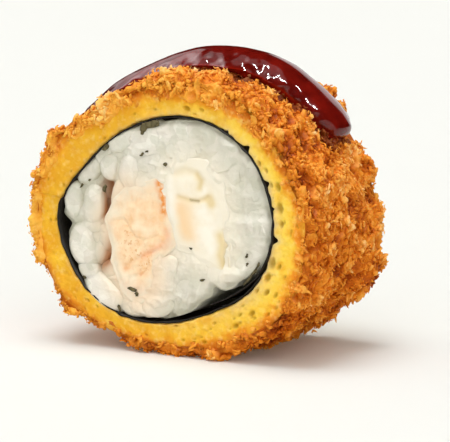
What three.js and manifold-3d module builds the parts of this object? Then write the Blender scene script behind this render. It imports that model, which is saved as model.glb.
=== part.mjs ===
// One slice of a deep-fried sushi roll. Pressed rice round a strip of salmon and a strip of
// cream cheese is wrapped in a seaweed sheet, coated in a thick ring of golden batter with a
// breadcrumb crust, and dressed with a ribbon of dark sauce that runs over the top.
// Millimetres, +Z up. The roll's axis runs along Y, so the cut faces look to -Y and +Y. It
// stands on the flattened underside of its crust, and the origin is at the middle of its base.

import * as THREE from 'three';
import Module from 'manifold-3d';

// Whole slice
const LENGTH = 29; // between the two cut faces
const HALF = LENGTH / 2;
const GAP = 0.3; // between pieces that touch
const FOOT_LEVEL = -24.7; // height of the flattened underside, from the roll's axis

// Batter ring: radii from the axis every 30 degrees, from +X and turning towards +Z
const CRUST_RADII = [29.8, 28.4, 27.8, 26.2, 26.0, 28.0, 28.5, 28.2, 26.0, 25.4, 27.6, 30.2];
const HOLE_RADII = [21.7, 21.1, 19.7, 18.1, 17.6, 18.6, 22.4, 22.5, 21.1, 19.3, 19.0, 21.2];
const SPONGE = { size: 2.6, height: 0.2 }; // unevenness of the cut batter
const CRUST_DROP = 1.9; // how much lower the crust is at the edge of a cut face
const CRUST_ROUNDING = 3.2; // length over which it thins out towards that edge
const CRUST_LUMPS = [{ size: 5, height: 0.6 }, { size: 2.9, height: 0.35 }];

// Seaweed sheet, whose inner end tucks under its outer end at the lower right
const SHEET_THICKNESS = 0.35;
const SHEET_START = -58; // degrees round the roll
const SHEET_END = 335;
const SHEET_INSET = 0.2; // from the cut faces
const TUCK = { middle: -46, reach: 36, depth: 1.25 }; // how far the inner end dips inwards

// Rice, with the places where it has settled away from the sheet
const RICE_HOLLOWS = [
  { middle: -42, reach: 40, depth: 1.55 },
  { middle: 290, reach: 34, depth: 0.9 },
  { middle: 196, reach: 32, depth: 1.2 },
  { middle: 103, reach: 14, depth: 0.6 },
];
const GRAIN = { size: 4.6, height: 0.4 }; // lumps that the grains make
const RICE_ROUNDING = 0.9; // how far its edge falls back from the cut face

// Outlines of the two fillings, [x, z] from the axis
const SALMON_OUTLINE = [
  [-11.0, 1.4], [-7.6, 5.0], [-1.6, 6.0], [0.0, 3.4], [0.3, -0.6], [1.1, -4.8],
  [-1.4, -7.2], [-3.2, -10.4], [-6.4, -11.8], [-9.6, -10.2], [-11.0, -6.2], [-11.6, -2.4],
];
const CHEESE_OUTLINE = [
  [0.8, 6.4], [4.0, 8.9], [7.8, 8.8], [9.6, 5.2], [11.0, 1.6], [12.8, -2.2],
  [12.6, -7.2], [9.6, -7.4], [5.6, -5.8], [2.2, -4.4], [1.0, -0.6], [0.6, 3.2],
];
const FILLING_RELIEF = { size: 3, height: 0.25 };

// Sauce ribbon: stations along it, in degrees round the roll
const SAUCE_STATIONS = [
  { angle: 146, middle: -2.0, width: 6, height: 0.9 },
  { angle: 126, middle: -1.2, width: 12, height: 1.1 },
  { angle: 108, middle: -0.5, width: 14.5, height: 1.6 },
  { angle: 88, middle: 0.6, width: 15.5, height: 2.9 },
  { angle: 62, middle: 1.4, width: 15, height: 3.0 },
  { angle: 43, middle: 2.8, width: 12.5, height: 2.9 },
  { angle: 28, middle: 3.6, width: 9.5, height: 3.2 },
];
const SAUCE_END = 0.14; // share of its length over which each end is rounded

const wasm = await Module();
wasm.setup();

const { clamp, degToRad, euclideanModulo, lerp, smoothstep } = THREE.MathUtils;

// Value at `place` along evenly spaced values, on a smooth curve through them all
function between(values, place) {
  const first = Math.floor(place);
  const t = place - first;
  const [a, b, c, d] = [-1, 0, 1, 2].map((step) => values(first + step));
  const bend = 2 * a - 5 * b + 4 * c - d;
  const twist = 3 * (b - c) + d - a;
  return b + 0.5 * t * (c - a + t * (bend + t * twist));
}

// Smooth closed outline through radii spaced evenly round the circle
function roundOutline(radii) {
  const count = radii.length;
  return (angle) => between((n) => radii[euclideanModulo(n, count)], (angle * count) / 360);
}

const crustRadius = roundOutline(CRUST_RADII);
const holeRadius = roundOutline(HOLE_RADII);

// Smooth hump: its depth at the middle angle, and nothing past its reach
function hump(angle, { middle, reach, depth }) {
  const away = Math.abs(euclideanModulo(angle - middle + 180, 360) - 180);
  return away < reach ? 0.5 * depth * (1 + Math.cos((Math.PI * away) / reach)) : 0;
}

// Rounded lumps in space: random heights on a cubic lattice, smoothly blended
function lumps([x, y, z], { size, height }) {
  const place = [x / size, y / size, z / size];
  const corner = place.map(Math.floor);
  const blend = place.map((p, axis) => smoothstep(p - corner[axis], 0, 1));
  let sum = 0;
  for (let n = 0; n < 8; n++) {
    const step = [n & 1, (n >> 1) & 1, n >> 2];
    const [i, j, k] = corner.map((c, axis) => c + step[axis]);
    const random = Math.sin(127.1 * i + 311.7 * j + 74.7 * k) * 43758.5453;
    const weight = blend.reduce((w, b, axis) => w * (step[axis] ? b : 1 - b), 1);
    sum += weight * (random - Math.floor(random));
  }
  return height * (2 * sum - 1);
}

// Point at a radius and an angle round the roll's axis
function polar(radius, angle, y) {
  return [radius * Math.cos(degToRad(angle)), y, radius * Math.sin(degToRad(angle))];
}

// Numbers from 0 to 1 in equal steps
function shares(count) {
  return Array.from({ length: count }, (_, n) => n / (count - 1));
}

// Closed solid from loops of points, each with the same number of points. The last loop meets
// the first, which makes a ring, or a pole closes each end.
function loopSolid(loops, poles) {
  const columns = loops[0].length;
  const bands = poles ? loops.length - 1 : loops.length;
  const at = (i, j) => (j % loops.length) * columns + (i % columns);
  const points = loops.flat();
  const index = [];
  for (let i = 0; i < columns; i++) {
    for (let j = 0; j < bands; j++) {
      index.push(at(i, j), at(i + 1, j + 1), at(i + 1, j));
      index.push(at(i, j), at(i, j + 1), at(i + 1, j + 1));
    }
    if (poles) {
      index.push(points.length, at(i, 0), at(i + 1, 0));
      index.push(points.length + 1, at(i + 1, bands), at(i, bands));
    }
  }
  const geometry = new THREE.BufferGeometry();
  const all = poles ? points.concat(poles) : points;
  geometry.setAttribute('position', new THREE.Float32BufferAttribute(all.flat(), 3));
  geometry.setIndex(index);
  return geometry;
}

// Loop of points round the roll, one for each angle
function ringOf(columns, point) {
  return Array.from({ length: columns }, (_, i) => point((360 * i) / columns));
}

function toManifold(geometry) {
  const vertProperties = new Float32Array(geometry.attributes.position.array);
  const triVerts = new Uint32Array(geometry.index.array);
  return new wasm.Manifold(new wasm.Mesh({ numProp: 3, vertProperties, triVerts }));
}

// The largest body of a cut solid, so that no loose sliver is left beside it
function toGeometry(solid) {
  const [largest] = solid.decompose().sort((a, b) => b.volume() - a.volume());
  const { vertProperties, triVerts } = largest.getMesh();
  const geometry = new THREE.BufferGeometry();
  geometry.setAttribute('position', new THREE.BufferAttribute(vertProperties, 3));
  geometry.setIndex(new THREE.BufferAttribute(triVerts, 1));
  return geometry;
}

// Crust surface: the crumbs stand out most in mid-length, thin out towards the cut faces, and
// are pressed flat where the slice stands. `grow` moves the surface outwards.
function crustPoint(angle, y, grow) {
  const inset = clamp((HALF - Math.abs(y)) / CRUST_ROUNDING, 0, 1);
  const cover = Math.sqrt(1 - (1 - inset) ** 2);
  const level = crustRadius(angle) - CRUST_DROP * (1 - cover);
  const place = polar(level, angle, y);
  const relief = CRUST_LUMPS.reduce((sum, size) => sum + lumps(place, size), 0);
  const [px, py, pz] = polar(level + relief * lerp(0.35, 1, cover) + grow, angle, y);
  return [px, py, Math.max(pz, FOOT_LEVEL - grow)];
}

// Places of the crust's rings along the roll, closer together near the cut faces
function crustRings(count) {
  return shares(count).map((share) => -HALF * Math.cos(Math.PI * share));
}

function batterGeometry() {
  const columns = 96;
  const steps = [0.67, 0.33, 0];
  const face = (share, side) => ringOf(columns, (angle) => {
    const radius = lerp(holeRadius(angle), crustRadius(angle) - CRUST_DROP, share);
    const sponge = SPONGE.height + lumps(polar(radius, angle, side * HALF), SPONGE);
    return polar(radius, angle, side * (HALF - sponge));
  });
  const wall = (y) => ringOf(columns, (angle) => polar(holeRadius(angle), angle, y));
  return loopSolid([
    ...[...steps].reverse().map((share) => face(share, -1)),
    ...crustRings(13).map((y) => ringOf(columns, (angle) => crustPoint(angle, y, 0))),
    ...steps.map((share) => face(share, 1)),
    wall(HALF / 3),
    wall(-HALF / 3),
  ]);
}

// The whole outer form of the crust with no hole, grown a little, to cut what lies on it
function crustCutter() {
  const rings = crustRings(13).map((y) => ringOf(96, (angle) => crustPoint(angle, y, GAP)));
  return toManifold(loopSolid(rings, [[0, -HALF, 0], [0, HALF, 0]]));
}

// Seaweed sheet, one spiral strip. Its section is drawn flat and extruded along the roll.
function noriGeometry() {
  const side = (depth) => shares(84).map((share) => {
    const angle = lerp(SHEET_START, SHEET_END, share);
    const tuck = share < 0.5 ? hump(Math.min(angle, TUCK.middle + TUCK.reach), TUCK) : 0;
    const held = angle < TUCK.middle ? TUCK.depth : tuck;
    const [x, , z] = polar(holeRadius(angle) - GAP - held - depth, angle, 0);
    return new THREE.Vector2(x, z);
  });
  const section = new THREE.Shape([...side(0), ...side(SHEET_THICKNESS).reverse()]);
  const depth = LENGTH - 2 * SHEET_INSET;
  const geometry = new THREE.ExtrudeGeometry(section, { depth, bevelEnabled: false });
  return geometry.rotateX(Math.PI / 2).translate(0, depth / 2, 0);
}

// Closed outline through [x, z] points, moved outwards by `grow`
function fillingOutline(outline, grow) {
  const points = outline.map(([x, z]) => new THREE.Vector3(x, 0, z));
  const curve = new THREE.CatmullRomCurve3(points, true);
  return shares(37).slice(1).reverse().map((share) => {
    const { x, z } = curve.getPointAt(share);
    const along = curve.getTangentAt(share);
    return [x - along.z * grow, z + along.x * grow];
  });
}

// Filling that runs through the roll from face to face, with slightly rounded, uneven ends
function fillingGeometry(outline) {
  const edge = fillingOutline(outline, 0);
  const middle = [0, 1].map((n) => edge.reduce((sum, p) => sum + p[n], 0) / edge.length);
  const loop = (share, inset, side) => edge.map(([x, z]) => {
    const place = [lerp(middle[0], x, share), side * HALF, lerp(middle[1], z, share)];
    const relief = FILLING_RELIEF.height + lumps(place, FILLING_RELIEF);
    return [place[0], side * (HALF - inset - relief), place[2]];
  });
  const caps = [[0.3, 0], [0.62, 0], [0.93, 0.05], [1, 0.5]];
  const pole = (side) => [middle[0], side * (HALF - FILLING_RELIEF.height), middle[1]];
  return loopSolid([
    ...caps.map(([share, inset]) => loop(share, inset, -1)),
    ...[...caps].reverse().map(([share, inset]) => loop(share, inset, 1)),
  ], [pole(-1), pole(1)]);
}

// A filling's room in the rice, clear of it all round and open at both faces
function fillingCutter(outline) {
  const loops = [-1, 1].map((side) => (
    fillingOutline(outline, GAP).map(([x, z]) => [x, side * LENGTH, z])
  ));
  const middle = outline[0].map((_, n) => outline.reduce((sum, p) => sum + p[n], 0) / outline.length);
  const pole = (side) => [middle[0], side * LENGTH, middle[1]];
  return toManifold(loopSolid(loops, [pole(-1), pole(1)]));
}

// Pressed rice: lumpy all over, with room for the two fillings
function riceGeometry() {
  const columns = 72;
  const rice = (share, y, inset) => ringOf(columns, (angle) => {
    const settled = RICE_HOLLOWS.reduce((sum, hollow) => sum + hump(angle, hollow), 0);
    const full = holeRadius(angle) - 2 * GAP - SHEET_THICKNESS - settled;
    const place = polar(full * share, angle, y);
    const relief = GRAIN.height - lumps(place, GRAIN);
    const [x, , z] = polar(full * share - 0.5 * relief * share, angle, y);
    return [x, y - Math.sign(y) * (inset + 0.5 * relief), z];
  });
  const caps = [[0.25, 0], [0.5, 0], [0.75, 0], [0.93, 0.15], [1, RICE_ROUNDING]];
  const solid = loopSolid([
    ...caps.map(([share, inset]) => rice(share, -HALF, inset)),
    ...[-0.45, 0, 0.45].map((share) => rice(1, share * LENGTH * 0.7, 0)),
    ...[...caps].reverse().map(([share, inset]) => rice(share, HALF, inset)),
  ], [[0, -HALF + 0.3, 0], [0, HALF - 0.3, 0]]);
  const rooms = [SALMON_OUTLINE, CHEESE_OUTLINE].map(fillingCutter);
  return toGeometry(rooms.reduce((body, room) => body.subtract(room), toManifold(solid)));
}

// Sauce ribbon: an oval section carried round the top of the roll, rounded at both ends, less
// the crust that it has run over
function sauceGeometry() {
  const last = SAUCE_STATIONS.length - 1;
  const station = (key, share) => (
    between((n) => SAUCE_STATIONS[clamp(n, 0, last)][key], share * last)
  );
  const loops = shares(36).slice(1, -1).map((share) => {
    const end = clamp(Math.min(share, 1 - share) / SAUCE_END, 0, 1);
    const round = Math.sqrt(1 - (1 - end) ** 2);
    const angle = station('angle', share);
    const [width, height] = [station('width', share) * round, station('height', share) * round];
    return ringOf(18, (turn) => {
      const y = station('middle', share) - 0.5 * width * Math.cos(degToRad(turn));
      return polar(crustRadius(angle) + height * Math.sin(degToRad(turn)), angle, y);
    });
  });
  const pole = ({ angle, middle }) => polar(crustRadius(angle), angle, middle);
  const ribbon = loopSolid(loops, [pole(SAUCE_STATIONS[0]), pole(SAUCE_STATIONS[last])]);
  return toGeometry(toManifold(ribbon).subtract(crustCutter()));
}

function food(name, geometry, color, roughness) {
  const material = new THREE.MeshStandardMaterial({ color, roughness, metalness: 0 });
  const mesh = new THREE.Mesh(geometry, material);
  mesh.name = name;
  return mesh;
}

const pieces = new THREE.Group();
pieces.add(
  food('breaded_batter', batterGeometry(), 0xc87228, 0.8),
  food('nori', noriGeometry(), 0x1c1a12, 0.5),
  food('rice', riceGeometry(), 0xe2dccb, 0.45),
  food('salmon', fillingGeometry(SALMON_OUTLINE), 0xf9d4ab, 0.5),
  food('cream_cheese', fillingGeometry(CHEESE_OUTLINE), 0xf5ead2, 0.4),
  food('sauce', sauceGeometry(), 0x5c1410, 0.1),
);

// The base goes to height 0, and the middle of the slice over the origin
const box = new THREE.Box3().setFromObject(pieces);
const middle = box.getCenter(new THREE.Vector3());
pieces.position.set(-middle.x, -middle.y, -box.min.z);

const roll = new THREE.Group();
roll.add(pieces);

export default roll;
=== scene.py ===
"""Looks of one slice of fried sushi roll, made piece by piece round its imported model."""

import bpy
import numpy as np
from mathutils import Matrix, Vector


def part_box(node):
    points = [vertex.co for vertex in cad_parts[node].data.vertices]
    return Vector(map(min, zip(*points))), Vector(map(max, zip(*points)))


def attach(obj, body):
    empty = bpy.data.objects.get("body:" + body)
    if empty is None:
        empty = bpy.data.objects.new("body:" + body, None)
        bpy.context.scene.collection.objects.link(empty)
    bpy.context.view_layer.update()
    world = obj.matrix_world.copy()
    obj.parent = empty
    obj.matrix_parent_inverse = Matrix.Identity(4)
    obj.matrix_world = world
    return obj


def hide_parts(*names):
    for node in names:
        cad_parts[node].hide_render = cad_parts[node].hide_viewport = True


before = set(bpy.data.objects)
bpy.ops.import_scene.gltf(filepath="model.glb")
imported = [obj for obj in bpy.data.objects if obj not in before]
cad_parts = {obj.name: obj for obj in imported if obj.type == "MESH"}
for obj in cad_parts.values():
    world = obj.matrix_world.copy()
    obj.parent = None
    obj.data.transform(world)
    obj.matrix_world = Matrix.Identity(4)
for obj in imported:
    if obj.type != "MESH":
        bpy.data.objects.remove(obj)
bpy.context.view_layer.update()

# ---- Batter ring ------------------------------------------------------------------------
# The rolled sushi is dipped in a thick batter, which swells in the hot oil to a soft yellow
# sponge and browns on the outside. Slicing the roll leaves two flat, porous cut faces.

MM = 0.001
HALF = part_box("nori")[1].y + 0.2 * MM  # from the middle of the slice to a cut face
FOOT_DROP = 24.7 * MM  # from the roll's axis down to what it stands on
# Radii round the roll's axis, and how much of each cut face is bare of crumbs: a value for every
# 30 degrees, from the right over the top.
HOLE_RADII = np.array([21.7, 21.1, 19.7, 18.1, 17.6, 18.6, 22.4, 22.5, 21.1, 19.3, 19.0, 21.2]) * MM
CRUST_RADII = np.array([29.8, 28.4, 27.8, 26.2, 26.0, 28.0, 28.5, 28.2, 26.0, 25.4, 27.6, 30.2]) * MM
BARE_SHARE = np.array([0.80, 0.66, 0.56, 0.54, 0.60, 0.70, 0.78, 0.74, 0.74, 0.74, 0.78, 0.84])
SHEET_CLEARANCE = 0.3 * MM  # between the hole and the seaweed
HOLE_SWELL = 0.22 * MM  # how far the batter swells into the hole, towards the seaweed
CRUST_ROUNDING = 3.2 * MM  # how near a cut face the crust starts to drop
CRUMB_BED = 1.1 * MM  # how far the batter's own skin lies below the tops of the crumbs
CRUST_SWELLS = np.array([
    # angle and place along the roll of the middle, reach in degrees and in mm, height in mm
    [74, 13, 4, 4, 0.9],
    [48, 13, 7, 5, 1.9],
    [41, 13, 4, 5, 2.2],
    [31, 12, 9, 7, -3.4],
    [8, 11, 9, 8, -1.6],
    [340, 11, 9, 8, 2.7],
    [332, 11, 8, 7, 1.7],
    [320, 12, 6, 7, -1.6],
    [241, -11, 7, 6, -1.8],
    [220, -12, 8, 6, 2.1],
    [200, -12, 8, 6, 0.6],
    [173, -12, 12, 6, 1.7],
    [151, -11, 6, 6, 2.2],
    [134, -8, 24, 11, -4.2],
    [112, -9, 22, 8, -2.5],
    [60, -9, 14, 6, 0.5],
])
LEDGE_START, LEDGE_FADE, LEDGE_END = 174.5, 182, 205  # degrees, of the torn step in the ring's left
LEDGE_DEPTH, LEDGE_RISE = 0.6 * MM, 0.4 * MM  # how far it lies back, and outwards at the hole
HOLE_NOTCHES = ((39, 2.4, 0.8), (20, 2.2, 0.7), (-6.6, 2.4, 0.8), (52, 1.4, 0.4), (8, 1.2, 0.4))
FRONT_PORES = np.array([
    # angle in degrees, size in mm and share of the way out from the hole, of the larger bubbles
    [17, 0.5, 0.33],
    [8, 0.62, 0.22],
    [25.5, 0.3, 0.18],
    [1, 0.4, 0.22],
    [343, 0.62, 0.08],
    [336, 0.5, 0.12],
    [318, 0.42, 0.42],
    [308, 0.4, 0.5],
    [330, 0.4, 0.3],
    [77, 0.42, 0.2],
    [69, 0.3, 0.25],
    [36.7, 0.4, 0.68],
])
AXIS = np.array([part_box("nori")[1].x + SHEET_CLEARANCE - HOLE_RADII[0], 0.0, FOOT_DROP])

lattice = np.random.default_rng(4).random((32, 32, 32))  # for noise: it repeats every 32 cubes


def cubic(a, b, c, d, t):
    """Smooth value between b and c: the cubic that passes each in the direction of its neighbours,
    as t goes from 0 to 1."""
    return b + 0.5 * t * (c - a + t * (2 * a - 5 * b + 4 * c - d + t * (3 * (b - c) + d - a)))


def closed_curve(values, angle):
    """Value at an angle in degrees on a smooth closed curve through evenly spaced values."""
    place = np.asarray(angle) * len(values) / 360
    first = np.floor(place).astype(int)
    near = (values[(first + step) % len(values)] for step in (-1, 0, 1, 2))
    return cubic(*near, place - first)


def noise(points, size, seed=0):
    """Smooth value from -1 to 1: random numbers at the corners of cubes of one size, blended
    along each axis by 3 t^2 - 2 t^3."""
    place = points / size + seed * np.array([5.23, 9.71, 3.17])
    corner = np.floor(place).astype(int)
    t = place - corner
    t = t * t * (3 - 2 * t)
    total = 0.0
    for step in np.ndindex(2, 2, 2):
        cell = (corner + step) % len(lattice)
        weight = np.prod(np.where(step, t, 1 - t), axis=-1)
        total = total + weight * lattice[cell[..., 0], cell[..., 1], cell[..., 2]]
    return 2 * total - 1


def hump(away, reach):
    """1 at no distance, 0 past the reach, and half a cosine wave between."""
    return np.where(np.abs(away) < reach, 0.5 + 0.5 * np.cos(np.pi * away / reach), 0.0)


def bump_at(angle, middle, reach):
    """A hump round an angle in degrees."""
    return hump((angle - middle + 180) % 360 - 180, reach)


def step_up(value, start, end):
    """0 before start, 1 after end, and 3 t^2 - 2 t^3 between."""
    t = np.clip((value - start) / (end - start), 0, 1)
    return t * t * (3 - 2 * t)


def polar(radius, angle, y):
    """Points at a radius and an angle in degrees round the roll's axis, y along it."""
    radius, turn, y = np.broadcast_arrays(radius, np.radians(angle), y)
    return AXIS + np.stack([radius * np.cos(turn), y, radius * np.sin(turn)], axis=-1)


def ledge_at(angle):
    """1 just below the torn step in the ring's left side, falling to 0 further round."""
    torn = step_up(angle, LEDGE_START - 0.5, LEDGE_START + 0.3)
    return torn * (1 - step_up(angle, LEDGE_FADE, LEDGE_END))


def crust_drop(angle):
    """How much lower the crust is at the edge of a cut face: least at the lower left."""
    return (1.9 - 1.3 * bump_at(angle, 205, 75)) * MM


def crust_rim(angle):
    """Radius of the crust at the edge of a cut face."""
    return closed_curve(CRUST_RADII, angle) - crust_drop(angle)


def crust_level(angle, y):
    """Radius of the tops of the crumbs: the outline, less a quarter of an ellipse towards each
    cut face, plus lumps of two sizes. Also how far the quarter ellipse has risen, 0 to 1."""
    cover = np.sqrt(1 - (1 - np.clip((HALF - np.abs(y)) / CRUST_ROUNDING, 0, 1)) ** 2)
    level = closed_curve(CRUST_RADII, angle) - crust_drop(angle) * (1 - cover)
    place = polar(level, angle, y)
    lumps = 0.9 * noise(place, 5.5 * MM, 1) + 0.55 * noise(place, 2.6 * MM, 2)
    lumps = lumps * (0.35 + 0.65 * cover)
    for turn, middle, reach, length, height in CRUST_SWELLS:
        lumps = lumps + height * bump_at(angle, turn, reach) * hump(y / MM - middle, length)
    return level + MM * lumps, cover


def loop_solid(loops, poles=None):
    """Closed surface through closed loops of points (loop, place along it, xyz). The last loop
    meets the first, or each end closes as a fan on its pole. Returns points and faces."""
    count, columns = loops.shape[:2]
    j, i = np.indices((count - (poles is not None), columns))
    steps = ((0, 0), (1, 0), (1, 1), (0, 1))
    corner = [((j + a) % count) * columns + (i + b) % columns for a, b in steps]
    quads = np.stack(corner, axis=-1).reshape(-1, 4)
    points = loops.reshape(-1, 3)
    if poles is None:
        return points, [quads]
    around = np.arange(columns)
    after = (around + 1) % columns
    last = (count - 1) * columns
    start = np.stack([np.full(columns, len(points)), around, after], axis=-1)
    end = np.stack([np.full(columns, len(points) + 1), last + after, last + around], axis=-1)
    return np.concatenate([points, poles]), [quads, np.concatenate([start, end])]


def add_piece(name, node, slot, points, faces, fields=None):
    """A shaded mesh object from points and lists of faces, with a number for each point in each
    field. It rides on the one body and stands for its node; slot is not used."""
    mesh = bpy.data.meshes.new(name)
    corners = np.concatenate([rows.ravel() for rows in faces])
    sizes = np.concatenate([np.full(len(rows), rows.shape[1]) for rows in faces])
    starts = np.concatenate([[0], np.cumsum(sizes)[:-1]])
    mesh.vertices.add(len(points))
    mesh.vertices.foreach_set("co", points.astype(np.float32).ravel())
    mesh.loops.add(len(corners))
    mesh.loops.foreach_set("vertex_index", corners.astype(np.int32))
    mesh.polygons.add(len(sizes))
    mesh.polygons.foreach_set("loop_start", starts.astype(np.int32))
    for field, values in (fields or {}).items():
        layer = mesh.attributes.new(field, "FLOAT", "POINT")
        layer.data.foreach_set("value", values.astype(np.float32).ravel())
    mesh.update(calc_edges=True)
    mesh.validate()
    mesh.shade_smooth()
    piece = bpy.data.objects.new(name, mesh)
    bpy.context.scene.collection.objects.link(piece)
    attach(piece, "root")
    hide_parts(node)
    return piece


def colour(code):
    """Linear colour of a screen colour written as six hexadecimal digits."""
    value = np.array([int(code[n : n + 2], 16) for n in (0, 2, 4)]) / 255
    linear = np.where(value <= 0.04045, value / 12.92, ((value + 0.055) / 1.055) ** 2.4)
    return (*linear.tolist(), 1.0)


class Wire:
    """A socket's output in a material. Arithmetic on wires and numbers adds Math nodes."""

    def __init__(self, finish, socket):
        self.finish, self.socket = finish, socket

    def maths(self, operation, *values):
        return self.finish.node("Math", {"operation": operation}, dict(enumerate(values)))

    def __add__(self, other):
        return self.maths("ADD", self, other)

    def __sub__(self, other):
        return self.maths("SUBTRACT", self, other)

    def __rsub__(self, other):
        return self.maths("SUBTRACT", other, self)

    def __mul__(self, other):
        return self.maths("MULTIPLY", self, other)

    __radd__ = __add__
    __rmul__ = __mul__


class Finish:
    """A material of nodes: its skin's fixed values, and the object's place in millimetres."""

    def __init__(self, name, **skin):
        self.material = bpy.data.materials.new(name)
        self.material.use_nodes = True
        self.tree = self.material.node_tree
        self.tree.nodes.clear()
        fixed = {socket.replace("_", " "): value for socket, value in skin.items()}
        place = self.node("TexCoord", out="Object")
        self.place = self.node("Mapping", {}, {"Vector": place, "Scale": (1 / MM,) * 3})
        self.skin = self.node("BsdfPrincipled", {}, fixed)
        self.node("OutputMaterial", {}, {"Surface": self.skin}, out=None)

    def node(self, kind, settings=None, sockets=None, out=0):
        """Adds a node: its type, then its settings, then the values or wires of its sockets."""
        made = self.tree.nodes.new("ShaderNode" + kind)
        for setting, value in (settings or {}).items():
            if setting == "stops":
                while len(made.color_ramp.elements) < len(value):
                    made.color_ramp.elements.new(1.0)
                for stop, (position, code) in zip(made.color_ramp.elements, value):
                    stop.position, stop.color = position, colour(code)
            else:
                setattr(made, setting, value)
        for socket, value in (sockets or {}).items():
            if isinstance(value, Wire):
                self.tree.links.new(value.socket, made.inputs[socket])
            else:
                made.inputs[socket].default_value = value
        return None if out is None else Wire(self, made.outputs[out])

    def noise(self, size, detail=2.0, rough=0.5):
        """Noise from 0 to 1 with features of about this size in millimetres."""
        sockets = {"Vector": self.place, "Scale": 1 / size, "Detail": detail, "Roughness": rough}
        return self.node("TexNoise", {}, sockets)

    def cells(self, size):
        """Random value from 0 to 1 for each of many irregular cells of about this size."""
        return self.node("TexVoronoi", {}, {"Vector": self.place, "Scale": 1 / size}, out="Color")

    def field(self, name):
        """The number that each point of the piece holds under this name."""
        return self.node("Attribute", {"attribute_name": name}, out="Fac")

    def ramp(self, factor, *stops):
        return self.node("ValToRGB", {"stops": stops}, {"Fac": factor})

    def mix(self, factor, first, second):
        """Colour from first to second. Both are wires or colour codes."""
        first, second = (v if isinstance(v, Wire) else colour(v) for v in (first, second))
        return self.node("Mix", {"data_type": "RGBA"}, {0: factor, 6: first, 7: second}, out=2)

    def layers(self, base, *coats):
        """The base with colours laid over it in turn, each as far as its mask says."""
        for mask, coat in coats:
            base = self.mix(mask, base, coat)
        return base

    def clip(self, wire, low, high):
        """The wire's value, rescaled so that low becomes 0 and high 1, and held between them."""
        return self.node("MapRange", {}, {"Value": wire, "From Min": low, "From Max": high})

    def patches(self, size, detail, low, high):
        """Patches of noise: 0 where it is below low, 1 above high."""
        return self.clip(self.noise(size, detail), low, high)

    def relief(self, height, depth, strength=1.0):
        """Normal of a surface whose height varies by this depth in millimetres."""
        sockets = {"Strength": strength, "Distance": depth * MM, "Height": height}
        return self.node("Bump", {}, sockets)

    def wear(self, *pieces, **sockets):
        """Links the skin's varying sockets, and puts the material on the pieces."""
        for socket, wire in sockets.items():
            self.tree.links.new(wire.socket, self.skin.socket.node.inputs[socket.replace("_", " ")])
        for piece in pieces:
            piece.data.materials.append(self.material)


def pore_depth(place, side):
    """How deep the bubbles that the knife opened are, 0 to 1: the deepest of many rounded pits of
    random size, long round the ring, more of them at the right and lower right."""
    random = np.random.default_rng(7 + (side > 0))
    turns = np.concatenate([random.uniform(0, 360, 45), random.normal(335, 38, 30)])
    sizes = np.concatenate([random.uniform(0.1, 0.26, 45), random.uniform(0.12, 0.34, 30)])
    shares = random.uniform(0.04, 0.85, len(turns))
    pores = np.column_stack([turns, sizes, shares])
    if side < 0:
        pores = np.concatenate([pores, FRONT_PORES])
    deepest = np.zeros(place.shape[:-1])
    for turn, size, share in pores:
        radius = closed_curve(HOLE_RADII, turn) * (1 - share) + crust_rim(turn) * share
        gap = place - polar(radius, turn, side * HALF)
        out = gap[..., 0] * np.cos(np.radians(turn)) + gap[..., 2] * np.sin(np.radians(turn))
        along = gap[..., 2] * np.cos(np.radians(turn)) - gap[..., 0] * np.sin(np.radians(turn))
        away = np.hypot(out, along * 0.6) / (size * MM)
        deepest = np.maximum(deepest, np.exp(-(away**4)) * min(size / 0.4, 1))
    return deepest


def batter_face(side, angle, share, hole, rim):
    """Loops of one cut face, from the hole outwards: flat, less sponge noise, pores, a soft edge
    at the hole, the torn step, and a fall where crumbs cover it. Returns loops and two fields."""
    radius = hole + (rim - hole) * share
    place = polar(radius, angle, side * HALF)
    pores = pore_depth(place, side)
    rimward = share / closed_curve(BARE_SHARE, angle)
    hollows = 0.2 * step_up(noise(place, 1.6 * MM, 11), 0.3, 0.8)
    sponge = 0.08 * noise(place, 0.9 * MM, 5) + 0.05 * noise(place, 0.45 * MM, 6)
    sponge = sponge + 0.14 * noise(place, 3 * MM, 8) + hollows
    depth = 0.2 + sponge + 0.55 * pores + 0.35 * (1 - step_up(share, 0, 0.06))
    depth = depth + 1.1 * step_up(rimward, 1.0, 1.9)
    depth = depth * MM + LEDGE_DEPTH * ledge_at(angle) * (side < 0)
    return polar(radius, angle, side * (HALF - depth)), rimward, pores


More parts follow.
